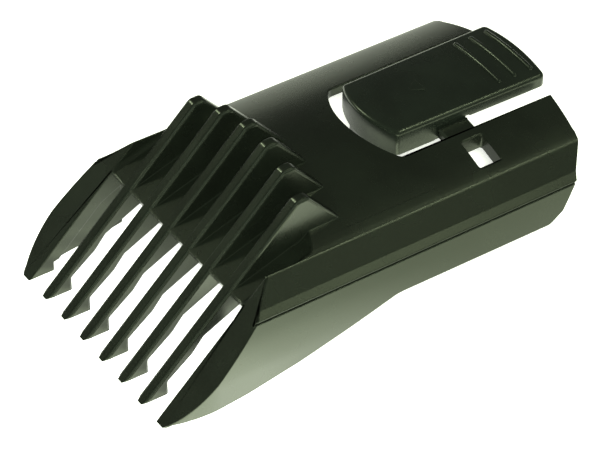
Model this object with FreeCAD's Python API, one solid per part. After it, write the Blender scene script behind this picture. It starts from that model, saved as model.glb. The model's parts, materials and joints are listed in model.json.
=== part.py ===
# Guide comb of a hair clipper: a moulded hood with eight comb teeth and a rocking release button.
# Millimetres, +Z up. X runs across the comb, Y from the tooth tips to the open rear end.
# Shapes are drawn with Y counted from the tooth tips; at export they move back by half the length,
# so the origin is the middle of the footprint at the height of the tooth feet.
import FreeCAD, Part
import math
import os

Vec = FreeCAD.Vector

# ---------------------------------------------------------------- driving dimensions
toothPitch = 6.0          # centre to centre across the comb
toothThick = 2.2
innerTeeth = 6            # between the two broad outer teeth
inclineDeg = 43.7         # slope of the plane all tooth backs lie in
wall = 1.8                # general wall of the moulding

length = 84.5             # tooth tips to the rear edge of the button
crownRadius = 51.0        # arch of the hood, seen from the rear
crownTop = 24.1
creaseX = 20.2            # where the arch turns into the sloping shoulder
shoulderFoot = (23.1, 16.6)
ledgeEdge = (24.3, 15.65) # narrow step that runs along each side
grooveSize = 0.4
wallTopX = 24.45          # side wall just under the groove, bulging out to its widest near the foot
wallMid, wallLow = (25.25, 11.8), (25.7, 8.0)
rearCrownY, rearCreaseY = 83.9, 82.3
rearLean = 0.76           # forward run of the rear side edge for each mm down
skirtZ = 9.7              # lower edge of the rear half of the side walls
skirtKinkY = 42.4
lowerEdge = ((0.0, 0.0), (1.6, 0.75), (3.7, 1.5), (5.8, 2.0), (8.3, 2.4), (13.6, 2.95), (23.3, 4.8),
             (32.8, 7.2))

# underside of a tooth: flat foot, upright heel, a steeper jog, then up to the valley floor
toothUnderside = ((0.0, 0.0), (4.9, 0.0), (4.9, 2.75), (9.6, 6.35), (11.7, 8.85), (18.9, 12.4))
cheekInset, cheekY = 0.4, (5.3, 18.5)
peakStations = (29.4, 30.8, 31.6)      # where the fins reach their tops, outer to middle
peakFlat, peakRise = 2.0, 0.1          # short top of each fin behind its peak, still rising a little
peakFillet = 0.9
rootKeel = 0.8                         # how far a tooth hangs below the valley floor at its rear end
finFallDeg = 48.0                      # rear slope of each fin
outerToothDepth = 2.6                  # of the face wall of the broad outer teeth

valleyFrontY = 16.5                    # front edge of the floor between the fins
valleyBendY, valleyBendZ = 28.2, 19.75
valleyMid = (31.1, 21.35)
valleyTopY = 32.3
valleyRearZ = 20.5

slotHalfWidth = 10.7      # U-shaped slot round the button
slotFrontY, slotCornerY = 49.7, 53.4
bridgeY0, bridgeY1 = 62.3, 68.0        # the two twisting bridges that carry the button
bridgeThick = 1.7
bridgeDrop = 0.4                       # bridges lie this far under the hood surface
windowX0, windowX1 = 12.5, 17.9        # window over the length scale
windowY0, windowY1 = 63.7, 67.9
windowDepth = 2.9
collarWall = 1.1

buttonHalfFront, buttonHalfRear = 8.0, 8.4
buttonFrontY, buttonCornerY = 52.1, 54.3
buttonRearY, buttonRearCornerY = length, 84.0
buttonRise = 2.0          # top of the button above the hood
capThick = 2.3
capRelief = 0.2           # clearance pocket of the cap over each bridge
capCorner = 1.4
capEdge = 0.5
skirtWall = 1.4
skirtBottomZ = 20.9
bridgeGap = 0.05          # running gap between bridge ends and rocker
ridgeStations = (76.1, 79.3, 82.5)
ridgeHalf = 6.1
ridgeRadius = 0.45
latchWidth, latchLength, latchDrop = 8.0, 3.2, 3.4
arrowLength, arrowWidth, arrowRise = 2.65, 3.4, 0.25
arrowTipY = 61.8

railY0, railY1 = 36.0, 74.0            # guide rails inside the side walls
railWidth, railHeight, railZ = 1.5, 1.8, 11.4

reach = 60.0              # generous size for cutting blocks
slope = math.tan(math.radians(inclineDeg))


# ---------------------------------------------------------------- small helpers
def polygonFace(points):
    loop = [Vec(*p) for p in points]
    return Part.Face(Part.makePolygon(loop + [loop[0]]))


def acrossPrism(outline, x0, x1):
    """Side outline (Y, Z) carried across from x0 to x1."""
    return polygonFace([(x0, y, z) for y, z in outline]).extrude(Vec(x1 - x0, 0, 0))


def block(x0, x1, y0, y1, z0, z1):
    return Part.makeBox(x1 - x0, y1 - y0, z1 - z0, Vec(x0, y0, z0))


def wireSolid(edges, travel):
    return Part.Face(Part.Wire(Part.__sortEdges__(edges))).extrude(travel)


def mirrored(shape):
    return shape.mirror(Vec(0, 0, 0), Vec(1, 0, 0))


def crownZ(x, drop=0.0):
    radius = crownRadius - drop
    return crownTop - crownRadius + math.sqrt(radius * radius - x * x)


def line(a, b):
    return Part.makeLine(Vec(*a), Vec(*b))


def arc(a, b, c):
    return Part.Arc(Vec(*a), Vec(*b), Vec(*c)).toShape()


# ---------------------------------------------------------------- envelopes of the hood
def hull(rightSide, topX, drop):
    """Solid under the arch and down both sides; rightSide lists (X, Z) from the crease to the bottom."""
    topZ = crownZ(topX, drop)
    right = [(topX, 0, topZ)] + [(x, 0, z) for x, z in rightSide]
    left = [(-x, 0, z) for x, y, z in reversed(right)]
    edges = [arc((-topX, 0, topZ), (0, 0, crownTop - drop), (topX, 0, topZ))]
    edges += [line(a, b) for a, b in zip(right, right[1:])]
    edges += [line(right[-1], left[0])]
    edges += [line(a, b) for a, b in zip(left, left[1:])]
    return wireSolid(edges, Vec(0, length + 2, 0))


grooveZ = ledgeEdge[1] - grooveSize
outerHull = hull([shoulderFoot, ledgeEdge, (ledgeEdge[0], grooveZ),
                  (ledgeEdge[0] - grooveSize, grooveZ), (ledgeEdge[0] - grooveSize, grooveZ - grooveSize),
                  (wallTopX, grooveZ - grooveSize), wallMid, wallLow, (wallLow[0], -1.0)], creaseX, 0.0)
innerTopX = creaseX - 1.5
innerHull = hull([(shoulderFoot[0] - 1.2, ledgeEdge[1] - 0.9), (wallTopX - wall, grooveZ - wall),
                  (wallMid[0] - wall, wallMid[1]), (wallLow[0] - wall, wallLow[1]),
                  (wallLow[0] - wall, -1.5)], innerTopX, wall)
shell = outerHull.cut(innerHull)

# everything in front of the inclined plane is open air
farY = reach * 0.75
frontAir = acrossPrism([(-4, -4 * slope), (-4, reach), (farY, reach), (farY, farY * slope)], -reach, reach)

# side outline of the walls: lower edge, leaning rear edge
rearBottomY = rearCreaseY - rearLean * (crownZ(creaseX) - skirtZ)
sideOutline = list(lowerEdge) + [(skirtKinkY, skirtZ), (rearBottomY - 2.4, skirtZ),
                                 (rearBottomY - 0.7, skirtZ + 0.5),
                                 (rearBottomY + rearLean * 1.6, skirtZ + 1.6),
                                 (rearCreaseY, crownZ(creaseX)),
                                 (rearCreaseY + 4 * rearLean, crownZ(creaseX) + 4),
                                 (0.0, crownZ(creaseX) + 4)]
sideBody = acrossPrism(sideOutline, -reach, reach)

# plan outlines, carried upward: bowed rear edge, outer teeth rounded in towards their tips
tipOuterX = (innerTeeth + 1) / 2 * toothPitch + toothThick / 2
noseMid, noseEnd = (24.2, 3.0), (wallLow[0], 8.6)
rearCorner = (wallLow[0] + 1, rearCreaseY)
planBody = wireSolid([
    arc((-creaseX, rearCreaseY, 0), (0, rearCrownY, 0), (creaseX, rearCreaseY, 0)),
    line((creaseX, rearCreaseY, 0), (*rearCorner, 0)),
    line((*rearCorner, 0), (rearCorner[0], noseEnd[1], 0)),
    line((rearCorner[0], noseEnd[1], 0), (*noseEnd, 0)),
    arc((*noseEnd, 0), (*noseMid, 0), (tipOuterX, 0, 0)),
    line((tipOuterX, 0, 0), (-tipOuterX, 0, 0)),
    arc((-tipOuterX, 0, 0), (-noseMid[0], noseMid[1], 0), (-noseEnd[0], noseEnd[1], 0)),
    line((-noseEnd[0], noseEnd[1], 0), (-rearCorner[0], noseEnd[1], 0)),
    line((-rearCorner[0], noseEnd[1], 0), (-rearCorner[0], rearCreaseY, 0)),
    line((-rearCorner[0], rearCreaseY, 0), (-creaseX, rearCreaseY, 0))], Vec(0, 0, reach))
planBody.translate(Vec(0, 0, -1))
hood = shell.common(planBody).cut(frontAir)


def archSolid(lift):
    """Everything under the arch raised by lift, as a long cylinder."""
    return Part.makeCylinder(crownRadius + lift, length + 2, Vec(0, 0, crownTop - crownRadius), Vec(0, 1, 0))


# ---------------------------------------------------------------- floor between the fins
floorStart = (valleyFrontY, valleyFrontY * slope)
floorEnd = (valleyTopY, crownTop + 0.5)


def valleyPrism(points, bend, closing):
    """Solid across the comb between a floor curve (straight, then bending up) and the closing points."""
    start, middle, end = points
    loop = [end] + closing + [start]
    edges = [line((-reach, *start), (-reach, *middle)),
             arc((-reach, *middle), (-reach, *bend), (-reach, *end))]
    edges += [line((-reach, *a), (-reach, *b)) for a, b in zip(loop, loop[1:])]
    return wireSolid(edges, Vec(2 * reach, 0, 0))


valleyBend = (valleyBendY, valleyBendZ)
valleyAir = valleyPrism((floorStart, valleyBend, floorEnd), valleyMid,
                        [(valleyTopY, reach), (0, reach), (0, 0)])
valleyBody = valleyPrism((floorStart, valleyBend, floorEnd), valleyMid,
                         [(valleyTopY, valleyRearZ), (valleyBendY + 0.7, valleyBendZ - wall),
                          (valleyFrontY + 0.7, floorStart[1] - wall)])

# ---------------------------------------------------------------- hood: arch and side walls
slotBody = wireSolid([
    arc((-slotHalfWidth, slotCornerY, 0), (0, slotFrontY, 0), (slotHalfWidth, slotCornerY, 0)),
    line((slotHalfWidth, slotCornerY, 0), (slotHalfWidth, reach * 2, 0)),
    line((slotHalfWidth, reach * 2, 0), (-slotHalfWidth, reach * 2, 0)),
    line((-slotHalfWidth, reach * 2, 0), (-slotHalfWidth, slotCornerY, 0))], Vec(0, 0, reach))
windowHole = block(windowX0, windowX1, windowY0, windowY1, 0, reach)

crownPanel = hood.common(block(-innerTopX, innerTopX, 0, reach * 2, 0, reach))
crownPanel = crownPanel.cut(valleyAir).cut(slotBody).cut(windowHole)

toothInnerX = tipOuterX - toothThick
toothSlab = acrossPrism([(-4, -4 * slope), (40, 40 * slope),
                         (40 + outerToothDepth * math.sin(math.radians(inclineDeg)),
                          40 * slope - outerToothDepth * math.cos(math.radians(inclineDeg))),
                         (-4 + outerToothDepth * math.sin(math.radians(inclineDeg)),
                          -4 * slope - outerToothDepth * math.cos(math.radians(inclineDeg)))],
                        toothInnerX, reach)
rootY = toothUnderside[-1][0]
toothBlade = acrossPrism(list(toothUnderside) + [(rootY, rootY * slope)], toothInnerX, tipOuterX)
toothBlade = toothBlade.common(planBody)
noseBody = outerHull.common(planBody).common(sideBody).cut(frontAir)
# behind its heel the outer tooth is solid out to the skin of the side wall
cheek = noseBody.common(block(toothInnerX + cheekInset, reach, *cheekY, 0, reach))
outerToothRight = noseBody.common(toothSlab).fuse(cheek).fuse(toothBlade).removeSplitter()
sideWallRight = hood.common(block(innerTopX, reach, 0, reach * 2, -2, reach)).common(sideBody)
sideWallRight = sideWallRight.cut(toothSlab).cut(cheek).cut(toothBlade)
sideWallRight = sideWallRight.cut(valleyAir.common(block(0, toothInnerX, 0, reach, 0, reach)))
sideWallLeft, outerToothLeft = mirrored(sideWallRight), mirrored(outerToothRight)


# ---------------------------------------------------------------- six inner teeth, each with its fin
def combTooth(index):
    centre = (index - (innerTeeth - 1) / 2) * toothPitch
    peakY = peakStations[min(index, innerTeeth - 1 - index)]
    peakZ = peakY * slope
    flatY = peakY + peakFlat
    seatZ = crownZ(abs(centre) + toothThick / 2) - 0.8
    fallY = flatY + (peakZ + peakRise - seatZ) / math.tan(math.radians(finFallDeg))
    outline = list(toothUnderside) + [(valleyTopY, valleyRearZ - rootKeel), (valleyTopY, seatZ),
                                      (fallY, seatZ), (flatY, peakZ + peakRise), (peakY, peakZ)]
    tooth = acrossPrism(outline, centre - toothThick / 2, centre + toothThick / 2)
    corners = [edge for edge in tooth.Edges if edge.BoundBox.XLength > toothThick - 0.01
               and edge.BoundBox.ZMin > peakZ - 0.01]
    return tooth.makeFillet(peakFillet, corners).cut(crownPanel)


teeth = [combTooth(index) for index in range(innerTeeth)]

valleyFloor = valleyBody.common(outerHull).common(block(-23, 23, 0, valleyTopY, 0, reach))
for solid in [crownPanel, sideWallLeft, sideWallRight, outerToothLeft, outerToothRight] + teeth:
    valleyFloor = valleyFloor.cut(solid)
valleyFloor = Part.makeCompound([s for s in valleyFloor.Solids if s.Volume > 20])

# ---------------------------------------------------------------- window collar, guide rails, bridges
collar = block(windowX0 - collarWall, windowX1 + collarWall,
               windowY0 - collarWall, windowY1 + collarWall, 0, reach)
collar = collar.cut(windowHole).common(archSolid(-wall)).cut(archSolid(-windowDepth)).cut(sideWallRight)

railRight = block(wallMid[0] - wall - railWidth, wallLow[0], railY0, railY1, railZ, railZ + railHeight)
railRight = railRight.common(innerHull)
railLeft = mirrored(railRight)

pivotHalf = buttonHalfFront
bridgeRight = block(pivotHalf + bridgeGap, slotHalfWidth, bridgeY0, bridgeY1, 0, reach)
bridgeRight = bridgeRight.common(archSolid(-bridgeDrop)).cut(archSolid(-bridgeDrop - bridgeThick))
bridgeLeft = mirrored(bridgeRight)


# ---------------------------------------------------------------- rocking release button
def buttonPlan(inset):
    front, rear = buttonHalfFront - inset, buttonHalfRear - inset
    frontY, frontCornerY = buttonFrontY + inset, buttonCornerY + inset
    rearY, rearCornerY = buttonRearY - inset, buttonRearCornerY - inset
    return wireSolid([
        arc((-front, frontCornerY, 0), (0, frontY, 0), (front, frontCornerY, 0)),
        line((front, frontCornerY, 0), (rear, rearCornerY, 0)),
        arc((rear, rearCornerY, 0), (0, rearY, 0), (-rear, rearCornerY, 0)),
        line((-rear, rearCornerY, 0), (-front, frontCornerY, 0))], Vec(0, 0, reach))


def uprightEdges(shape, lowY, highY):
    return [edge for edge in shape.Edges if edge.BoundBox.ZLength > reach - 1
            and lowY < edge.BoundBox.YMin < highY]


capPlan = buttonPlan(0.0)
capPlan = capPlan.makeFillet(capCorner, uprightEdges(capPlan, buttonRearCornerY - 1, length))
buttonCap = capPlan.common(archSolid(buttonRise)).cut(archSolid(buttonRise - capThick))
for side in (-1, 1):
    pocket = block(pivotHalf - skirtWall, reach, bridgeY0 - 0.5, bridgeY1 + 0.5, 0, reach)
    pocket = pocket if side > 0 else mirrored(pocket)
    buttonCap = buttonCap.cut(pocket.common(archSolid(capRelief)))
topEdges = [edge for edge in buttonCap.Edges
            if edge.CenterOfMass.z > crownZ(edge.CenterOfMass.x) + buttonRise - 0.4]
buttonCap = buttonCap.makeFillet(capEdge, topEdges)

skirtBand = block(-reach, reach, 0, bridgeY1, skirtBottomZ, reach)
buttonSkirt = capPlan.cut(buttonPlan(skirtWall)).common(skirtBand).common(archSolid(capRelief)).cut(buttonCap)
pivotBand = block(pivotHalf, reach, bridgeY0 - 0.3, bridgeY1, 0, reach)
buttonSkirt = buttonSkirt.cut(pivotBand).cut(mirrored(pivotBand))
crossRib = block(-pivotHalf + skirtWall, pivotHalf - skirtWall, bridgeY1 - skirtWall, bridgeY1,
                 skirtBottomZ, reach)
crossRib = crossRib.common(archSolid(capRelief)).cut(buttonSkirt).cut(buttonCap)

latchY = buttonFrontY + 0.3
latchTooth = acrossPrism([(latchY, skirtBottomZ), (latchY + latchLength, skirtBottomZ),
                          (latchY + latchLength - 0.5, skirtBottomZ - latchDrop),
                          (latchY + 1.1, skirtBottomZ - latchDrop)], -latchWidth / 2, latchWidth / 2)


def gripRidge(station):
    endZ, midZ = crownZ(ridgeHalf) + buttonRise, crownTop + buttonRise
    path = Part.Wire([arc((-ridgeHalf, station, endZ), (0, station, midZ), (ridgeHalf, station, endZ))])
    tangent = path.Edges[0].tangentAt(path.Edges[0].FirstParameter)
    ring = Part.Wire([Part.makeCircle(ridgeRadius, Vec(-ridgeHalf, station, endZ), tangent)])
    bar = path.makePipeShell([ring], True, True)
    for side in (-1, 1):
        bar = bar.fuse(Part.makeSphere(ridgeRadius, Vec(side * ridgeHalf, station, endZ)))
    return bar.cut(buttonCap)


gripRidges = Part.makeCompound([gripRidge(station).Solids[0] for station in ridgeStations])

arrowBase = arrowTipY + arrowLength
arrow = polygonFace([(0, arrowTipY, 0), (arrowWidth / 2, arrowBase, 0), (-arrowWidth / 2, arrowBase, 0)])
arrow = arrow.extrude(Vec(0, 0, reach)).common(archSolid(buttonRise + arrowRise)).cut(archSolid(buttonRise))

# ---------------------------------------------------------------- export
nodes = {"crown_panel": crownPanel, "side_wall_left": sideWallLeft, "side_wall_right": sideWallRight,
         "outer_tooth_left": outerToothLeft, "outer_tooth_right": outerToothRight,
         "valley_floor": valleyFloor, "window_collar": collar,
         "guide_rail_left": railLeft, "guide_rail_right": railRight,
         "torsion_bridge_left": bridgeLeft, "torsion_bridge_right": bridgeRight,
         "button_cap": buttonCap, "button_skirt": buttonSkirt, "button_cross_rib": crossRib,
         "latch_tooth": latchTooth, "grip_ridges": gripRidges, "direction_arrow": arrow}
for index, tooth in enumerate(teeth):
    nodes["comb_tooth_%d" % (index + 1)] = tooth

os.makedirs("parts", exist_ok=True)
for name, shape in nodes.items():
    solids = [solid.translated(Vec(0, -length / 2, 0)) for solid in shape.Solids]
    whole = solids[0] if len(solids) == 1 else Part.makeCompound(solids)
    whole.exportStep("parts/%s.step" % name)
    box = whole.BoundBox
    print(name, len(solids), whole.isValid(), round(whole.Volume, 1),
          [round(v, 2) for v in (box.XMin, box.XMax, box.YMin, box.YMax, box.ZMin, box.ZMax)])
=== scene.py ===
# Guide comb of a hair clipper: one moulded comb with eight teeth, and the rocking button that releases it.
import bpy
import bmesh
import json
import math
from mathutils import Matrix, Vector


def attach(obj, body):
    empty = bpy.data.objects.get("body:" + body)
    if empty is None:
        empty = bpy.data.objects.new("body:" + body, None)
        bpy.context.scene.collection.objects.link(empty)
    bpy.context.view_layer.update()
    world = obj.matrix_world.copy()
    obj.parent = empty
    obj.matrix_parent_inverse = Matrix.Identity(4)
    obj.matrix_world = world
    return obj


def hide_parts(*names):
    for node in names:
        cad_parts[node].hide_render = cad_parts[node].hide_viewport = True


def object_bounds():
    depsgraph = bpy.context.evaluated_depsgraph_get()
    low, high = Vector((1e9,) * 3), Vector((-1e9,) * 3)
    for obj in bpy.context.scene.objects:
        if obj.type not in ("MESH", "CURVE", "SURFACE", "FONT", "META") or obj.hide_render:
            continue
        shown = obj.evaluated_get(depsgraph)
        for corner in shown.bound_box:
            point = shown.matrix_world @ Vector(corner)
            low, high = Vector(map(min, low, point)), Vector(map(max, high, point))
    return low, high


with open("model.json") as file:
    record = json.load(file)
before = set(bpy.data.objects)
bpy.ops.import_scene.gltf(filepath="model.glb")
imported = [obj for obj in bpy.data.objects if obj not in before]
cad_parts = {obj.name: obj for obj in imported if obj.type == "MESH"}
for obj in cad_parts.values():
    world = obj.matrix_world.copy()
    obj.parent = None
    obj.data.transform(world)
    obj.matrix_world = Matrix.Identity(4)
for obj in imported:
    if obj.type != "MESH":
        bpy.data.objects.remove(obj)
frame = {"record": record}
lowCorner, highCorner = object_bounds()
tipY = lowCorner[1] * 1000      # the tooth tips; outlines below count Y from here, in millimetres

# cutters run well past the comb, so that only the faces that shape it touch it
wideX = (-40, 40)
wholeY = (-10, 100)
wholeZ = (-5, 60)
throughTop = (5, 60)

roundSteps = dict(small=14, large=1.2, largeFrom=15)     # degrees from point to point, by radius in mm
meshing = dict(merge=0.008, flatDeg=0.4, cornerDeg=42, faceWeight=90)


def arcPoints(a, b, c, steps):
    # points on the circle through a, b and c, both ends kept
    ax, ay, bx, by, cx, cy = *a, *b, *c
    d = 2 * (ax * (by - cy) + bx * (cy - ay) + cx * (ay - by))
    ux = ((ax**2 + ay**2) * (by - cy) + (bx**2 + by**2) * (cy - ay) + (cx**2 + cy**2) * (ay - by)) / d
    uy = ((ax**2 + ay**2) * (cx - bx) + (bx**2 + by**2) * (ax - cx) + (cx**2 + cy**2) * (bx - ax)) / d
    radius = math.hypot(ax - ux, ay - uy)
    start, mid, end = (math.atan2(y - uy, x - ux) for x, y in (a, b, c))
    turn = (end - start) % math.tau
    if (mid - start) % math.tau > turn:
        turn -= math.tau
    angles = [start + turn * i / steps for i in range(steps + 1)]
    return [(ux + radius * math.cos(angle), uy + radius * math.sin(angle)) for angle in angles]


def roundedOutline(corners):
    # closed outline; a corner given as (a, b, radius) is rounded
    outline = []
    count = len(corners)
    for i, corner in enumerate(corners):
        here = Vector(corner[:2])
        if len(corner) == 2 or corner[2] <= 0:
            outline.append(tuple(here))
            continue
        back = (Vector(corners[i - 1][:2]) - here).normalized()
        ahead = (Vector(corners[(i + 1) % count][:2]) - here).normalized()
        half = back.angle(ahead) / 2
        reach = corner[2] / math.tan(half)
        centre = here + (back + ahead).normalized() * corner[2] / math.sin(half)
        first, last = here + back * reach, here + ahead * reach
        middle = centre + (here - centre).normalized() * corner[2]
        finest = roundSteps["small"] if corner[2] < roundSteps["largeFrom"] else roundSteps["large"]
        steps = max(2, math.ceil(math.degrees(math.pi - 2 * half) / finest))
        outline += arcPoints(first, middle, last, steps)
    return outline


def prism(outline, axis, start, end):
    # an outline carried along X, Y or Z
    place = {"X": lambda p, d: (d, p[0], p[1]), "Y": lambda p, d: (p[0], d, p[1]),
             "Z": lambda p, d: (p[0], p[1], d)}[axis]
    mesh = bmesh.new()
    rings = [[mesh.verts.new(place(p, d)) for p in outline] for d in (start, end)]
    mesh.faces.new(rings[0])
    mesh.faces.new(reversed(rings[1]))
    for i in range(len(outline)):
        j = (i + 1) % len(outline)
        mesh.faces.new((rings[0][j], rings[0][i], rings[1][i], rings[1][j]))
    bmesh.ops.recalc_face_normals(mesh, faces=mesh.faces)
    return solidFrom(mesh, "blank")


def solidFrom(mesh, name):
    data = bpy.data.meshes.new(name)
    mesh.to_mesh(data)
    mesh.free()
    solid = bpy.data.objects.new(name, data)
    bpy.context.scene.collection.objects.link(solid)
    return solid


def combine(body, tools, how):
    # how is UNION, DIFFERENCE or INTERSECT; the tools are used up
    for tool in tools:
        step = body.modifiers.new(how.lower(), "BOOLEAN")
        step.operation, step.object, step.solver = how, tool, "EXACT"
        bpy.context.view_layer.update()
        shape = bpy.data.meshes.new_from_object(body.evaluated_get(bpy.context.evaluated_depsgraph_get()))
        body.modifiers.clear()
        body.data = shape
        bpy.data.objects.remove(tool)
    return body


def softenEdges(solid, width, sharpest=28, segments=3, choose=lambda points: True):
    # mould edges are never knife sharp: every outside edge that is chosen gets a small round
    mesh = bmesh.new()
    mesh.from_mesh(solid.data)
    bmesh.ops.remove_doubles(mesh, verts=mesh.verts, dist=meshing["merge"])
    bmesh.ops.dissolve_limit(mesh, angle_limit=math.radians(meshing["flatDeg"]), verts=mesh.verts,
                             edges=mesh.edges)
    edges = [e for e in mesh.edges if e.is_manifold and e.is_convex
             and e.calc_face_angle() > math.radians(sharpest) and choose([v.co for v in e.verts])]
    bmesh.ops.bevel(mesh, geom=edges, offset=width, segments=segments, profile=0.5, affect="EDGES",
                    clamp_overlap=False)
    bmesh.ops.recalc_face_normals(mesh, faces=mesh.faces)
    mesh.to_mesh(solid.data)
    mesh.free()
    return solid


def finishPiece(solid, name, body, nodes, material):
    # millimetres to metres, tips to their place in the frame, shading smooth except at real corners
    solid.name = solid.data.name = name
    solid.data.transform(Matrix.Translation((0, tipY / 1000, 0)) @ Matrix.Scale(0.001, 4))
    for point in solid.data.vertices:       # nothing may stand outside the overall size
        point.co = [min(max(v, low), high) for v, low, high in zip(point.co, lowCorner, highCorner)]
    solid.data.materials.clear()
    solid.data.materials.append(material)
    for face in solid.data.polygons:
        face.use_smooth = True
        face.material_index = 0
    solid.data.set_sharp_from_angle(angle=math.radians(meshing["cornerDeg"]))
    weighted = solid.modifiers.new("even shading", "WEIGHTED_NORMAL")
    weighted.keep_sharp = True
    weighted.weight = meshing["faceWeight"]
    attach(solid, body)
    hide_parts(*nodes)


def linearColour(hexColour):
    values = [int(hexColour[i:i + 2], 16) / 255 for i in (1, 3, 5)]
    return [v / 12.92 if v <= 0.04045 else ((v + 0.055) / 1.055) ** 2.4 for v in values] + [1]


def addNode(tree, kind, settings=None, links=None):
    # settings name sockets or properties, links name sockets fed from other nodes
    node = tree.nodes.new(kind)
    for key, value in (settings or {}).items():
        if isinstance(key, int) or key in node.inputs:
            node.inputs[key].default_value = value
        else:
            setattr(node, key, value)
    for key, source in (links or {}).items():
        tree.links.new(source, node.inputs[key])
    return node


plasticLooks = {
    # ABS out of a spark-eroded mould: 0.15 mm grain drawn at 0.35 mm so that it shows
    "grainedAbs": dict(colour="#121611", deepColour="#0e110d", wornColour="#1d211c", sheen="#f2ffdc",
                       roughness=0.27, ior=1.54, grainMm=0.35, grainDepthMm=0.005, grainStrength=0.15,
                       cloudMm=9.0, edgeMm=0.3, edgePolish=0.05),
    # grained ABS rubbed smoother by the thumb: the button
    "thumbedAbs": dict(colour="#151a15", deepColour="#111511", wornColour="#1f231e", sheen="#f2ffdc",
                       roughness=0.27, ior=1.54, grainMm=0.35, grainDepthMm=0.004, grainStrength=0.1,
                       cloudMm=6.0, edgeMm=0.3, edgePolish=0.05),
}
# the same for both: cloud levels from deep to full colour, what they do to the roughness, and
# the cosines of the bend at which an edge begins to look worn and is fully worn
plasticWear = dict(cloud=(0.3, 0.7), smoother=0.015, rougher=0.02, edgeBegins=0.995, edgeFull=0.90)


def mouldedPlastic(name, look):
    # injection moulded ABS: the mould's spark-eroded grain breaks up the gloss, and edges and
    # touched places are smoother
    material = bpy.data.materials.new(name)
    material.use_nodes = True
    tree = material.node_tree
    tree.nodes.clear()
    cloudLow, cloudHigh = plasticWear["cloud"]
    place = addNode(tree, "ShaderNodeTexCoord").outputs["Object"]
    grain = addNode(tree, "ShaderNodeTexNoise",
                    {"Scale": 1000 / look["grainMm"], "Detail": 2.0, "Roughness": 0.6},
                    {"Vector": place}).outputs["Fac"]
    cloud = addNode(tree, "ShaderNodeTexNoise",
                    {"Scale": 1000 / look["cloudMm"], "Detail": 3.0, "Roughness": 0.55},
                    {"Vector": place}).outputs["Fac"]
    rounded = addNode(tree, "ShaderNodeBevel", {"samples": 6, "Radius": look["edgeMm"] / 1000})
    flat = addNode(tree, "ShaderNodeNewGeometry")
    bend = addNode(tree, "ShaderNodeVectorMath", {"operation": "DOT_PRODUCT"},
                   {0: rounded.outputs["Normal"], 1: flat.outputs["Normal"]}).outputs["Value"]
    edge = addNode(tree, "ShaderNodeMapRange",
                   {"From Min": plasticWear["edgeBegins"], "From Max": plasticWear["edgeFull"],
                    "To Min": 0.0, "To Max": 1.0}, {"Value": bend}).outputs["Result"]
    ramp = addNode(tree, "ShaderNodeValToRGB", None, {"Fac": cloud})
    deep, full = ramp.color_ramp.elements
    deep.position, full.position = cloudLow, cloudHigh
    deep.color, full.color = linearColour(look["deepColour"]), linearColour(look["colour"])
    colour = addNode(tree, "ShaderNodeMix", {"data_type": "RGBA", 7: linearColour(look["wornColour"])},
                     {0: edge, 6: ramp.outputs["Color"]}).outputs[2]
    gloss = addNode(tree, "ShaderNodeMapRange",
                    {"From Min": cloudLow, "From Max": cloudHigh,
                     "To Min": look["roughness"] - plasticWear["smoother"],
                     "To Max": look["roughness"] + plasticWear["rougher"]},
                    {"Value": cloud}).outputs["Result"]
    gloss = addNode(tree, "ShaderNodeMath", {"operation": "MULTIPLY_ADD", 1: -look["edgePolish"]},
                    {0: edge, 2: gloss}).outputs["Value"]
    bump = addNode(tree, "ShaderNodeBump",
                   {"Strength": look["grainStrength"], "Distance": look["grainDepthMm"] / 1000},
                   {"Height": grain}).outputs["Normal"]
    shader = addNode(tree, "ShaderNodeBsdfPrincipled",
                     {"IOR": look["ior"], "Specular Tint": linearColour(look["sheen"])},
                     {"Base Color": colour, "Roughness": gloss, "Normal": bump})
    addNode(tree, "ShaderNodeOutputMaterial", None, {"Surface": shader.outputs["BSDF"]})
    return material


plastics = {name: mouldedPlastic(name, look) for name, look in plasticLooks.items()}
print("plastics mixed")

# the hood: an arch that leans back, its side walls, and the two broad outer teeth
hood = dict(crownRadius=51.0, crownTop=24.1, creaseX=20.2, shoulderFoot=(23.1, 16.6),
            ledgeEdge=(24.3, 15.65), grooveSize=0.22, wallTopX=24.45, wallMid=(25.25, 11.8),
            wallLow=(25.7, 8.0), wallEndZ=-3.0, wall=1.8, slopeDeg=43.7, edgeRound=0.28,
            noseFrom=(25.7, 8.6), noseThrough=(24.2, 3.0), bluntTip=0.15, planX=26.7, lengthY=(-5, 95),
            frontAirY=(-6, 50), frontAirTop=70)
hoodRounds = dict(crease=1.6, shoulder=1.0, ledge=0.22, groove=0.1, wallTop=0.15, wallMid=38.0,
                  wallLow=24.0, lowerEdge=3.0, lowerUntilY=30, kink=8.0, lip=1.6, lipTop=1.0)
# the round arch stops this far short of the crease, outside and inside
hoodArc = dict(outerStop=1.0, innerStop=1.5, outerSteps=90, innerSteps=40)
hoodLower = ((-3.0, -1.4), (1.6, 0.75), (3.7, 1.5), (5.8, 2.0), (8.3, 2.4), (13.6, 2.95), (23.3, 4.8),
             (32.8, 7.2))
hoodRear = dict(skirtZ=9.7, kinkY=42.4, crownY=83.9, creaseY=82.3, lean=0.76, above=6)
cavity = dict(shoulderIn=1.2, shoulderDown=0.9, cornerRound=1.0, endZ=-4.0)
midWall = ((22.6, 15.6), (23.4, 14.0), (24.3, 11.8), (24.7, 8.0), (24.7, -2.0))
slope = math.tan(math.radians(hood["slopeDeg"]))

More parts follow.
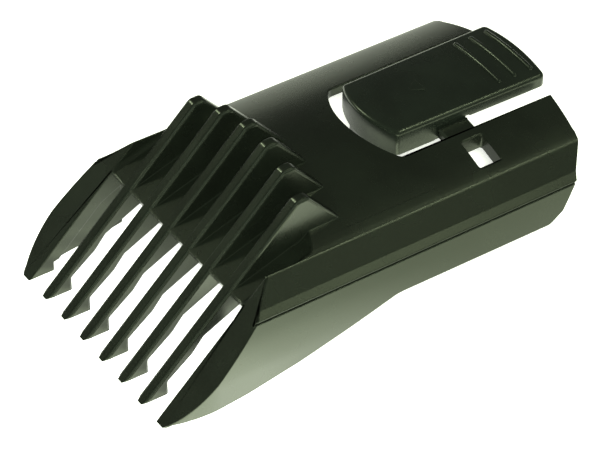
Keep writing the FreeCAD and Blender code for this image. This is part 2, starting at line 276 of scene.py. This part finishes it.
toothSizes = dict(pitch=6.0, thick=2.2, count=6, edgeRound=0.5, sharpTip=0.4, peakRound=1.3, heelRound=0.6,
                  peakY=(29.4, 30.8, 31.6), peakFlat=2.0, peakRise=0.1, fallDeg=48.0, rootZ=19.7,
                  seatDrop=0.8)
outerTooth = dict(slabDepth=2.6, slabY=(-8, 45), slabAbove=8, cheekInset=0.4, cheekY=(5.3, 18.5),
                  cheekZ=(-9, 60), bladeRise=3, bladeInset=0.02)
toothUnderside = ((0.0, 0.0), (4.9, 0.0), (4.9, 2.75), (9.6, 6.35), (11.7, 8.85), (18.9, 12.4))
tipOuterX = (toothSizes["count"] + 1) / 2 * toothSizes["pitch"] + toothSizes["thick"] / 2
toothInnerX = tipOuterX - toothSizes["thick"]

# the floor between the fins; the under, lip and lead pairs are steps along Y and Z from its corners
valley = dict(frontY=16.5, bend=(28.2, 19.75), mid=(31.1, 21.35), topY=32.3, overTop=0.5, rearZ=20.5,
              underFront=(0.8, -1.8), underBend=(0.7, -1.8), lip=(0.9, 0.8), lead=(-0.95, 2.7),
              blockX=(-30, 30), blockTop=40, airLead=3, airTop=50, curveSteps=12, sideRound=0.9,
              sideSegments=5, lowEdgeZ=26, sameX=0.01)


def crownZ(x, drop=0.0):
    radius = hood["crownRadius"] - drop
    return hood["crownTop"] - hood["crownRadius"] + math.sqrt(radius * radius - x * x)


def crownArc(halfX, drop, steps):
    footZ = crownZ(halfX, drop)
    return arcPoints((-halfX, footZ), (0, hood["crownTop"] - drop), (halfX, footZ), steps)


def bothSides(topArc, rightSide):
    # an arch with the same corners down either side
    leftSide = [(-corner[0], *corner[1:]) for corner in reversed(rightSide)]
    return roundedOutline(topArc + rightSide + leftSide)


def outerProfile():
    creaseX = hood["creaseX"]
    ledgeX, ledgeZ = hood["ledgeEdge"]
    groove = hood["grooveSize"]
    grooveZ = ledgeZ - groove
    side = [(creaseX, crownZ(creaseX), hoodRounds["crease"]),
            (*hood["shoulderFoot"], hoodRounds["shoulder"]),
            (ledgeX, ledgeZ, hoodRounds["ledge"]), (ledgeX, grooveZ, hoodRounds["groove"]),
            (ledgeX - groove, grooveZ), (ledgeX - groove, grooveZ - groove),
            (hood["wallTopX"], grooveZ - groove, hoodRounds["wallTop"]),
            (*hood["wallMid"], hoodRounds["wallMid"]), (*hood["wallLow"], hoodRounds["wallLow"]),
            (hood["wallLow"][0], hood["wallEndZ"])]
    return bothSides(crownArc(creaseX - hoodArc["outerStop"], 0.0, hoodArc["outerSteps"]), side)


def cavityProfile():
    wall = hood["wall"]
    ledgeZ = hood["ledgeEdge"][1]
    lowX = hood["wallLow"][0] - wall
    side = [(hood["shoulderFoot"][0] - cavity["shoulderIn"], ledgeZ - cavity["shoulderDown"],
             cavity["cornerRound"]),
            (hood["wallTopX"] - wall, ledgeZ - hood["grooveSize"] - wall, cavity["cornerRound"]),
            (hood["wallMid"][0] - wall, hood["wallMid"][1]), (lowX, hood["wallLow"][1]),
            (lowX, cavity["endZ"])]
    return bothSides(crownArc(hood["creaseX"] - hoodArc["innerStop"], wall, hoodArc["innerSteps"]), side)


def midProfile():
    # half way through the wall: keeps inner pieces off the outer skin
    arch = crownArc(hood["creaseX"] - hoodArc["innerStop"], hood["wall"] / 2, hoodArc["innerSteps"])
    return bothSides(arch, list(midWall))


def behindTips(points):
    return max(point.y for point in points) > toothSizes["sharpTip"]


def openAirInFront():
    front, rear = hood["frontAirY"]
    top = hood["frontAirTop"]
    return prism([(front, front * slope), (front, top), (rear, top), (rear, rear * slope)], "X", *wideX)


def planProfile():
    steps = 24
    nose = arcPoints(hood["noseFrom"], hood["noseThrough"], (tipOuterX, hood["bluntTip"]), steps)
    creaseX, creaseY, crownY = hood["creaseX"], hoodRear["creaseY"], hoodRear["crownY"]
    right = [(hood["planX"], creaseY), (hood["planX"], hood["noseFrom"][1])] + nose
    left = [(-x, y) for x, y in reversed(right)]
    return right + left + arcPoints((-creaseX, creaseY), (0, crownY), (creaseX, creaseY), steps)


def sideProfile():
    creaseY, lean, skirtZ = hoodRear["creaseY"], hoodRear["lean"], hoodRear["skirtZ"]
    creaseZ, above, lip = crownZ(hood["creaseX"]), hoodRear["above"], hoodRounds["lip"]
    bottomY = creaseY - lean * (creaseZ - skirtZ)
    lower = [(y, z, hoodRounds["lowerEdge"] if 0 < y < hoodRounds["lowerUntilY"] else 0)
             for y, z in hoodLower]
    return roundedOutline(lower + [(hoodRear["kinkY"], skirtZ, hoodRounds["kink"]),
                                   (bottomY - lip, skirtZ, lip),
                                   (bottomY + lean * lip, skirtZ + lip, hoodRounds["lipTop"]),
                                   (creaseY, creaseZ), (creaseY + above * lean, creaseZ + above),
                                   (hoodLower[0][0], creaseZ + above)])


def outwards(side, inner, outer):
    # a span of X on one side, in rising order
    return sorted((side * inner, side * outer))


def buildHollow():
    # what the hood is hollowed with: it leaves the outer teeth solid down to a slab under their faces
    hollow = prism(cavityProfile(), "Y", *wholeY)
    sink = math.radians(hood["slopeDeg"])
    deepY, deepZ = outerTooth["slabDepth"] * math.sin(sink), -outerTooth["slabDepth"] * math.cos(sink)
    start, end = outerTooth["slabY"]
    above = outerTooth["slabAbove"]
    slab = [(start, start * slope + above), (end, end * slope + above),
            (end + deepY, end * slope + deepZ), (start + deepY, start * slope + deepZ)]
    front, rear = outerTooth["cheekY"]
    low, high = outerTooth["cheekZ"]
    for side in (-1, 1):
        cheek = prism([(front, low), (rear, low), (rear, high), (front, high)], "X",
                      *outwards(side, toothInnerX + outerTooth["cheekInset"], wideX[1]))
        combine(hollow, [prism(slab, "X", *outwards(side, toothInnerX, wideX[1])), cheek], "DIFFERENCE")
    return hollow


def buildValleyFloor():
    frontY, topY, rearZ = valley["frontY"], valley["topY"], valley["rearZ"]
    frontZ = frontY * slope
    corners = [(frontY, frontZ, *valley["underFront"]), (*valley["bend"], *valley["underBend"]),
               (topY, rearZ, 0, 0), (topY, rearZ, *valley["lip"])]
    lipY, leadY = topY + valley["lip"][0], frontY + valley["lead"][0]
    floorBlock = prism([(y + along, z + up) for y, z, along, up in corners]
                       + [(lipY, valley["blockTop"]), (leadY, valley["blockTop"]),
                          (leadY, frontZ + valley["lead"][1])], "X", *valley["blockX"])
    return combine(floorBlock, [prism(midProfile(), "Y", *wholeY)], "INTERSECT")


def buildValleyAir():
    leadY = valley["frontY"] - valley["airLead"]
    frontZ = valley["frontY"] * slope
    floorCurve = arcPoints(valley["bend"], valley["mid"],
                           (valley["topY"], hood["crownTop"] + valley["overTop"]), valley["curveSteps"])
    rise = (valley["bend"][1] - frontZ) / (valley["bend"][0] - valley["frontY"])
    floorAir = [(leadY, frontZ - valley["airLead"] * rise)] + floorCurve
    floorAir += [(valley["topY"], valley["airTop"]), (leadY, valley["airTop"])]
    air = prism(floorAir, "X", -toothInnerX, toothInnerX)
    # the floor meets the walls in a hollow round, so the lower side edges of this cutter are rounded
    return softenEdges(air, valley["sideRound"], segments=valley["sideSegments"],
                       choose=lambda points: abs(points[0].x - points[1].x) < valley["sameX"]
                       and max(p.z for p in points) < valley["lowEdgeZ"])


def buildShell():
    hollow = buildHollow()
    shell = prism(outerProfile(), "Y", *hood["lengthY"])
    combine(shell, [hollow], "DIFFERENCE")
    combine(shell, [prism(planProfile(), "Z", *wholeZ), prism(sideProfile(), "X", *wideX)], "INTERSECT")
    rootY, rise = toothUnderside[-1][0], outerTooth["bladeRise"]
    blade = list(toothUnderside) + [(rootY, rootY * slope + rise), (0.0, rise)]
    for side in (-1, 1):
        span = outwards(side, toothInnerX, tipOuterX - outerTooth["bladeInset"])
        combine(shell, [prism(blade, "X", *span)], "UNION")
    combine(shell, [buildValleyFloor()], "UNION")
    combine(shell, [openAirInFront(), buildValleyAir()], "DIFFERENCE")
    return shell


slotSizes = dict(halfWidth=10.7, frontY=49.7, cornerY=53.4, cornerRound=1.8, openEndY=100, bowSteps=20)
windowSizes = dict(x0=12.5, x1=17.9, y0=63.7, y1=67.9, depth=2.9, collar=1.1, collarDrop=0.9,
                   cornerRound=0.4)


def archBand(x0, x1, dropTop, dropBottom, steps=6):
    # a strip that follows the hood's arch
    xs = [x0 + (x1 - x0) * i / steps for i in range(steps + 1)]
    return [(x, crownZ(x, dropTop)) for x in xs] + [(x, crownZ(x, dropBottom)) for x in reversed(xs)]


def cutOpenings(shell):
    half, cornerY, rearY = slotSizes["halfWidth"], slotSizes["cornerY"], slotSizes["openEndY"]
    bow = arcPoints((-half, cornerY), (0, slotSizes["frontY"]), (half, cornerY), slotSizes["bowSteps"])
    slot = roundedOutline([(*bow[0], slotSizes["cornerRound"])] + bow[1:-1]
                          + [(*bow[-1], slotSizes["cornerRound"]), (half, rearY), (-half, rearY)])
    combine(shell, [prism(slot, "Z", *throughTop)], "DIFFERENCE")
    x0, x1, y0, y1 = (windowSizes[side] for side in ("x0", "x1", "y0", "y1"))
    collar, corner = windowSizes["collar"], windowSizes["cornerRound"]
    around = archBand(x0 - collar, x1 + collar, windowSizes["collarDrop"], windowSizes["depth"])
    combine(shell, [prism(around, "Y", y0 - collar, y1 + collar)], "UNION")
    opening = roundedOutline([(x0, y0, corner), (x1, y0, corner), (x1, y1, corner), (x0, y1, corner)])
    combine(shell, [prism(opening, "Z", *throughTop)], "DIFFERENCE")
    return shell


def buildTooth(index):
    centre = (index - (toothSizes["count"] - 1) / 2) * toothSizes["pitch"]
    half, topY, peakRound = toothSizes["thick"] / 2, valley["topY"], toothSizes["peakRound"]
    peakY = toothSizes["peakY"][min(index, toothSizes["count"] - 1 - index)]
    peakZ, flatY = peakY * slope, peakY + toothSizes["peakFlat"]
    flatZ = peakZ + toothSizes["peakRise"]
    seatZ = crownZ(abs(centre) + half) - toothSizes["seatDrop"]
    fallY = flatY + (flatZ - seatZ) / math.tan(math.radians(toothSizes["fallDeg"]))
    heel = [(*corner, toothSizes["heelRound"]) for corner in toothUnderside[2:-1]]
    outline = roundedOutline([*toothUnderside[:2], *heel, toothUnderside[-1], (topY, toothSizes["rootZ"]),
                              (topY, seatZ), (fallY, seatZ), (flatY, flatZ, peakRound),
                              (peakY, peakZ, peakRound)])
    tooth = prism(outline, "X", centre - half, centre + half)
    return softenEdges(tooth, toothSizes["edgeRound"], choose=behindTips)


# two bridges carry the button; the web is the hollow corner between the rear end of each and the hood
bridgeSizes = dict(y0=62.3, y1=68.0, drop=0.4, thick=1.7, innerX=8.05, outerX=11.2, edgeRound=0.15,
                   rearRound=1.0, webBite=0.2, webX=(9.0, 12.0), webThinner=0.07, webPast=4, webSteps=6)
railSizes = dict(y0=36.0, y1=74.0, z0=11.4, z1=13.2, innerX=21.95, outerX=24.4, edgeRound=0.2)


def buildBridge(side):
    y0, y1, bite, hollow = (bridgeSizes[size] for size in ("y0", "y1", "webBite", "rearRound"))
    top, bottom = bridgeSizes["drop"], bridgeSizes["drop"] + bridgeSizes["thick"]
    band = [(side * x, z) for x, z in archBand(bridgeSizes["innerX"], bridgeSizes["outerX"], top, bottom)]
    edgeX = slotSizes["halfWidth"]
    inwards = 0.293 * hollow        # the middle of a quarter round lies this far in from its two sides
    web = [(edgeX + bite, y1 - bite), (edgeX - hollow, y1 - bite)]
    web += arcPoints((edgeX - hollow, y1), (edgeX - inwards, y1 + inwards), (edgeX, y1 + hollow),
                     bridgeSizes["webSteps"])
    web.append((edgeX + bite, y1 + hollow))
    corner = prism([(side * x, y) for x, y in web], "Z", *throughTop)
    thinner = bridgeSizes["webThinner"]
    deeper = [(side * x, z) for x, z in archBand(*bridgeSizes["webX"], top + thinner, bottom - thinner)]
    combine(corner, [prism(deeper, "Y", y0, y1 + bridgeSizes["webPast"])], "INTERSECT")
    return [softenEdges(prism(band, "Y", y0, y1), bridgeSizes["edgeRound"]), corner]


def buildRail(side):
    near, far = outwards(side, railSizes["innerX"], railSizes["outerX"])
    z0, z1 = railSizes["z0"], railSizes["z1"]
    rail = prism([(near, z0), (far, z0), (far, z1), (near, z1)], "Y", railSizes["y0"], railSizes["y1"])
    return softenEdges(rail, railSizes["edgeRound"])


def buildComb():
    shell = cutOpenings(buildShell())
    print("hood and outer teeth cut")
    for side in (-1, 1):
        combine(shell, [*buildBridge(side), buildRail(side)], "UNION")
    combine(shell, [buildTooth(i) for i in range(toothSizes["count"])], "UNION")
    print("inner teeth, bridges and rails joined")
    return softenEdges(shell, hood["edgeRound"], sharpest=26, choose=behindTips)


combNodes = frame["record"]["behaviour"]["bodies"]["comb_moulding"]
finishPiece(buildComb(), "comb_moulding_skin", "comb_moulding", combNodes,
            plastics["grainedAbs"])

# the release button, one moulding with three ridges and an arrow on its back
buttonSizes = dict(halfFront=8.0, halfRear=8.5, frontY=52.1, frontCornerY=54.3, rearY=84.5,
                   rearCornerY=84.0, bowSteps=24, rise=2.0, under=0.3, cornerRound=1.1,
                   frontCornerRound=0.85, topRound=0.7, edgeRound=0.18, skirtWall=1.4, skirtZ=20.9,
                   ribY=66.6, skirtEndY=68.0, pivotX=8.0, pivotPastX=14, pocketY=(61.8, 68.5),
                   pocketRise=0.2, pocketDepth=12, topBand=0.05, sharpest=40)
# half width and lower end of the cutters, which differ so that no two of their faces lie together
archCuts = dict(top=(15, 10), hollow=(16, 8), rear=(17, 6), startY=40, topEndY=95, rearEndY=99, steps=60)
latchSizes = dict(y=52.4, width=8.0, length=3.2, drop=3.4, root=0.8, frontLean=1.1, rearLean=0.5,
                  inset=0.4)
ridgeSizes = dict(stations=(76.1, 79.3, 82.5), half=6.55, width=0.95, rise=0.42, sink=0.3, sinkShare=0.25,
                  pointShare=0.02, lengthSteps=64, roundSteps=12)
arrowSizes = dict(tipY=61.8, baseY=64.45, width=3.4, rise=0.2, edgeRound=0.08, cornerRound=0.12, sink=0.2,
                  sharpest=40, past=1, tipRun=0.2, tipSink=0.04, spanX=(-4, 4), spanZ=(10, 60))


def buttonPlan(inset=0.0):
    steps = buttonSizes["bowSteps"]
    small, large = buttonSizes["frontCornerRound"], buttonSizes["cornerRound"]
    front, rear = buttonSizes["halfFront"] - inset, buttonSizes["halfRear"] - inset
    frontY, frontCornerY = buttonSizes["frontY"] + inset, buttonSizes["frontCornerY"] + inset
    rearY, rearCornerY = buttonSizes["rearY"] - inset, buttonSizes["rearCornerY"] - inset
    frontBow = arcPoints((-front, frontCornerY), (0, frontY), (front, frontCornerY), steps)
    rearBow = arcPoints((rear, rearCornerY), (0, rearY), (-rear, rearCornerY), steps)
    return roundedOutline([(*frontBow[0], small)] + frontBow[1:-1] + [(*frontBow[-1], small)]
                          + [(*rearBow[0], large)] + rearBow[2:-2] + [(*rearBow[-1], large)])


def underArch(halfX, bottomZ, drop):
    # everything between a low plane and the hood's arch lowered by drop
    return crownArc(halfX, drop, archCuts["steps"]) + [(halfX, bottomZ), (-halfX, bottomZ)]


def buildLatch():
    y, half = latchSizes["y"], latchSizes["width"] / 2
    rearY = y + latchSizes["length"]
    rootZ, bottomZ = buttonSizes["skirtZ"] + latchSizes["root"], buttonSizes["skirtZ"] - latchSizes["drop"]
    latch = prism([(y, rootZ), (rearY, rootZ), (rearY - latchSizes["rearLean"], bottomZ),
                   (y + latchSizes["frontLean"], bottomZ)], "X", -half, half)
    return combine(latch, [prism(buttonPlan(latchSizes["inset"]), "Z", *throughTop)], "INTERSECT")


def buildButton():
    rise, under, startY = buttonSizes["rise"], buttonSizes["under"], archCuts["startY"]
    button = prism(buttonPlan(), "Z", buttonSizes["skirtZ"], throughTop[1])
    arched = prism(underArch(*archCuts["top"], -rise), "Y", startY, archCuts["topEndY"])
    combine(button, [arched], "INTERSECT")
    inner = prism(buttonPlan(buttonSizes["skirtWall"]), "Z", *throughTop)
    hollow = prism(underArch(*archCuts["hollow"], under), "Y", startY, buttonSizes["ribY"])
    combine(inner, [hollow], "INTERSECT")
    rear = prism(underArch(*archCuts["rear"], under), "Y", buttonSizes["skirtEndY"], archCuts["rearEndY"])
    combine(button, [inner, rear], "DIFFERENCE")
    pocket = archBand(buttonSizes["pivotX"], buttonSizes["pivotPastX"], -buttonSizes["pocketRise"],
                      buttonSizes["pocketDepth"])
    for side in (-1, 1):
        band = [(side * x, z) for x, z in pocket]
        combine(button, [prism(band, "Y", *buttonSizes["pocketY"])], "DIFFERENCE")
    combine(button, [buildLatch()], "UNION")
    # the rim of the top gets the wide round, then every other edge a small one
    softenEdges(button, buttonSizes["topRound"], buttonSizes["sharpest"], 4,
                lambda points: min(p.z - crownZ(p.x, -rise) for p in points) > -buttonSizes["topBand"])
    return softenEdges(button, buttonSizes["edgeRound"], buttonSizes["sharpest"], 2)


def buildRidge(station):
    # a half-round bar laid along the arch, its ends drawn in to a point
    half, radius, sink = ridgeSizes["half"], ridgeSizes["width"] / 2, ridgeSizes["sink"]
    low = sink * ridgeSizes["sinkShare"]
    steps, turns = ridgeSizes["lengthSteps"], ridgeSizes["roundSteps"]
    mesh = bmesh.new()
    rings = []
    for i in range(steps + 1):
        x = half * math.sin(math.pi * (i / steps - 0.5))
        inner = max(abs(x) - (half - radius), 0) / radius
        narrow = math.sqrt(max(1 - inner * inner, ridgeSizes["pointShare"] ** 2))
        foot = crownZ(x, -buttonSizes["rise"])
        ring = [mesh.verts.new((x, station - radius * narrow * math.cos(turn),
                                foot - low + (ridgeSizes["rise"] + low) * narrow * math.sin(turn)))
                for turn in (math.pi * k / turns for k in range(turns + 1))]
        ring += [mesh.verts.new((x, station + radius * narrow, foot - sink)),
                 mesh.verts.new((x, station - radius * narrow, foot - sink))]
        rings.append(ring)
    for here, ahead in zip(rings, rings[1:]):
        for k in range(len(here)):
            j = (k + 1) % len(here)
            mesh.faces.new((here[k], here[j], ahead[j], ahead[k]))
    mesh.faces.new(rings[0])
    mesh.faces.new(reversed(rings[-1]))
    bmesh.ops.recalc_face_normals(mesh, faces=mesh.faces)
    return solidFrom(mesh, "ridge")


def buildRidges():
    first, *others = ridgeSizes["stations"]
    return combine(buildRidge(first), [buildRidge(station) for station in others], "UNION")


def buildArrow():
    # a wedge: flush with the cap at the tip, full height at its base
    tipY, baseY, past = (arrowSizes[size] for size in ("tipY", "baseY", "past"))
    half, corner = arrowSizes["width"] / 2, arrowSizes["cornerRound"]
    triangle = roundedOutline([(0, tipY, corner), (half, baseY, corner), (-half, baseY, corner)])
    arrow = prism(triangle, "Z", *arrowSizes["spanZ"])
    seat = hood["crownTop"] + buttonSizes["rise"]
    low, high = seat - arrowSizes["sink"], seat + arrowSizes["rise"]
    wedge = roundedOutline([(tipY - past, low), (baseY + past, low), (baseY + past, high), (baseY, high),
                            (tipY - arrowSizes["tipRun"], seat - arrowSizes["tipSink"])])
    combine(arrow, [prism(wedge, "X", *arrowSizes["spanX"])], "INTERSECT")
    return softenEdges(arrow, arrowSizes["edgeRound"], sharpest=arrowSizes["sharpest"])


finishPiece(buildButton(), "release_button_moulding", "release_button",
            ["button_cap", "button_skirt", "button_cross_rib", "latch_tooth"], plastics["thumbedAbs"])
finishPiece(buildRidges(), "thumb_ridges", "release_button", ["grip_ridges"],
            plastics["thumbedAbs"])
finishPiece(buildArrow(), "arrow_mark", "release_button", ["direction_arrow"],
            plastics["thumbedAbs"])
print("button built")

# light table, softboxes and camera, in metres; each softbox has its place, width and power
# the table's glow: an even level, plus a painted brighter band in front of the teeth and a painted pool of
# light beside the near front tooth
studio = dict(lampColour="#f7ffe8", floorColour="#fdfffa", floorGlow=0.62, paintedTeethGlow=1.5,
              teethEdge=(-0.012, -0.024), paintedPoolGlow=3.0, poolAt=(0.036, -0.036, 0.0), poolFrom=0.010,
              poolTo=0.065, poolEdge=(0.019, 0.027), sandingPerMetre=900.0, sandingRough=(0.6, 0.8),
              floorSize=4.0, floorGap=0.0002, skyColour="#e6e8e4", sky=0.10, aimAt=(0, 0, 0.02))
softboxes = {
    "key_softbox": ((0.718, -0.482, 0.746), 0.09, 24.0),
    "rear_softbox": ((0.32, 0.51, 1.02), 0.12, 1.2),
    "ledge_softbox": ((0.55, 0.49, 0.88), 0.2, 0.5),
    "shoulder_softbox": ((0.83, 0.49, 0.61), 0.2, 0.10),
    "far_softbox": ((-1.03, 0.49, 0.14), 0.25, 0.16),
    "peak_softbox": ((-0.73, -0.45, 0.78), 0.30, 1.7),
    "peak_lamp": ((-0.73, -0.46, 0.77), 0.06, 1.0),
}
cameraSizes = dict(azimuth=56.15, elevation=40.03, lens=168.0, sensor=36.0,
                   place=(0.29455, -0.19925, 0.30513))


def fade(tree, value, start, end, low=0.0, high=1.0):
    # a soft step from low to high as the value goes from start to end
    return addNode(tree, "ShaderNodeMapRange",
                   {"interpolation_type": "SMOOTHSTEP", "From Min": start, "From Max": end,
                    "To Min": low, "To Max": high}, {"Value": value}).outputs["Result"]


def opalGlass():
    # the light table under the comb: sanded opal glass with an even glow. A pool of light is painted into
    # its glow beside the near front tooth, and a brighter band is painted in front of the teeth
    material = bpy.data.materials.new("opalGlass")
    material.use_nodes = True
    tree = material.node_tree
    tree.nodes.clear()
    place = addNode(tree, "ShaderNodeTexCoord").outputs["Object"]
    away = addNode(tree, "ShaderNodeVectorMath", {"operation": "DISTANCE", 1: studio["poolAt"]},
                   {0: place}).outputs["Value"]
    # painted pool of light: the glow rises in a soft disc beside the near front tooth
    paintedPool = fade(tree, away, studio["poolFrom"], studio["poolTo"], studio["paintedPoolGlow"], 0.0)
    across, along = addNode(tree, "ShaderNodeSeparateXYZ", None, {"Vector": place}).outputs[:2]
    # painted band of light: the glow is brighter in front of the tooth tips
    teeth = fade(tree, along, *studio["teethEdge"], studio["floorGlow"], studio["paintedTeethGlow"])
    beside = fade(tree, across, *studio["poolEdge"])
    glow = addNode(tree, "ShaderNodeMath", {"operation": "MULTIPLY_ADD"},
                   {0: paintedPool, 1: beside, 2: teeth}).outputs["Value"]
    # sanding drawn about 1 mm apart, coarser than real, so that the table isn't dead even
    sanding = addNode(tree, "ShaderNodeTexNoise", {"Scale": studio["sandingPerMetre"]},
                      {"Vector": place}).outputs["Fac"]
    smooth, rough = studio["sandingRough"]
    dull = addNode(tree, "ShaderNodeMapRange", {"To Min": smooth, "To Max": rough},
                   {"Value": sanding}).outputs["Result"]
    milky = linearColour(studio["floorColour"])
    shader = addNode(tree, "ShaderNodeBsdfPrincipled", {"Base Color": milky, "Emission Color": milky},
                     {"Roughness": dull, "Emission Strength": glow})
    addNode(tree, "ShaderNodeOutputMaterial", None, {"Surface": shader.outputs["BSDF"]})
    return material


def softLight(name, place, size, power):
    # a square softbox turned to the middle of the comb
    lamp = bpy.data.lights.new(name, "AREA")
    lamp.shape, lamp.size, lamp.size_y, lamp.energy = "RECTANGLE", size, size, power
    lamp.color = linearColour(studio["lampColour"])[:3]
    light = bpy.data.objects.new(name, lamp)
    facing = (Vector(place) - Vector(studio["aimAt"])).normalized()
    up = Vector((0, 0, 1))
    across = (up - up.dot(facing) * facing).normalized()
    turn = Matrix((across, facing.cross(across), facing)).transposed()
    light.matrix_world = Matrix.Translation(place) @ turn.to_4x4()
    bpy.context.scene.collection.objects.link(light)
    return light


floorMesh = bmesh.new()
bmesh.ops.create_grid(floorMesh, x_segments=1, y_segments=1, size=studio["floorSize"])
floor = solidFrom(floorMesh, "light_table")
floor.location.z = lowCorner[2] - studio["floorGap"]
floor.data.materials.append(opalGlass())

world = bpy.data.worlds.new("room")
world.use_nodes = True
background = world.node_tree.nodes["Background"]
background.inputs["Color"].default_value = linearColour(studio["skyColour"])
background.inputs["Strength"].default_value = studio["sky"]
bpy.context.scene.world = world

lights = {name: softLight(name, *values) for name, values in softboxes.items()}
# crossed filters: the key lights the table and the plastic but leaves no glints
lights["key_softbox"].visible_glossy = False

azimuth, elevation = math.radians(cameraSizes["azimuth"]), math.radians(cameraSizes["elevation"])
level = math.cos(elevation)
back = Vector((math.sin(azimuth) * level, -math.cos(azimuth) * level, math.sin(elevation)))
right = Vector((math.cos(azimuth), math.sin(azimuth), 0))
facing = Matrix((right, back.cross(right), back)).transposed().to_4x4()
camera = bpy.data.objects.new("camera", bpy.data.cameras.new("camera"))
camera.data.lens, camera.data.sensor_width = cameraSizes["lens"], cameraSizes["sensor"]
camera.matrix_world = Matrix.Translation(cameraSizes["place"]) @ facing
bpy.context.scene.collection.objects.link(camera)
bpy.context.scene.camera = camera
bpy.context.scene.view_settings.view_transform = "Standard"
print("stage set")
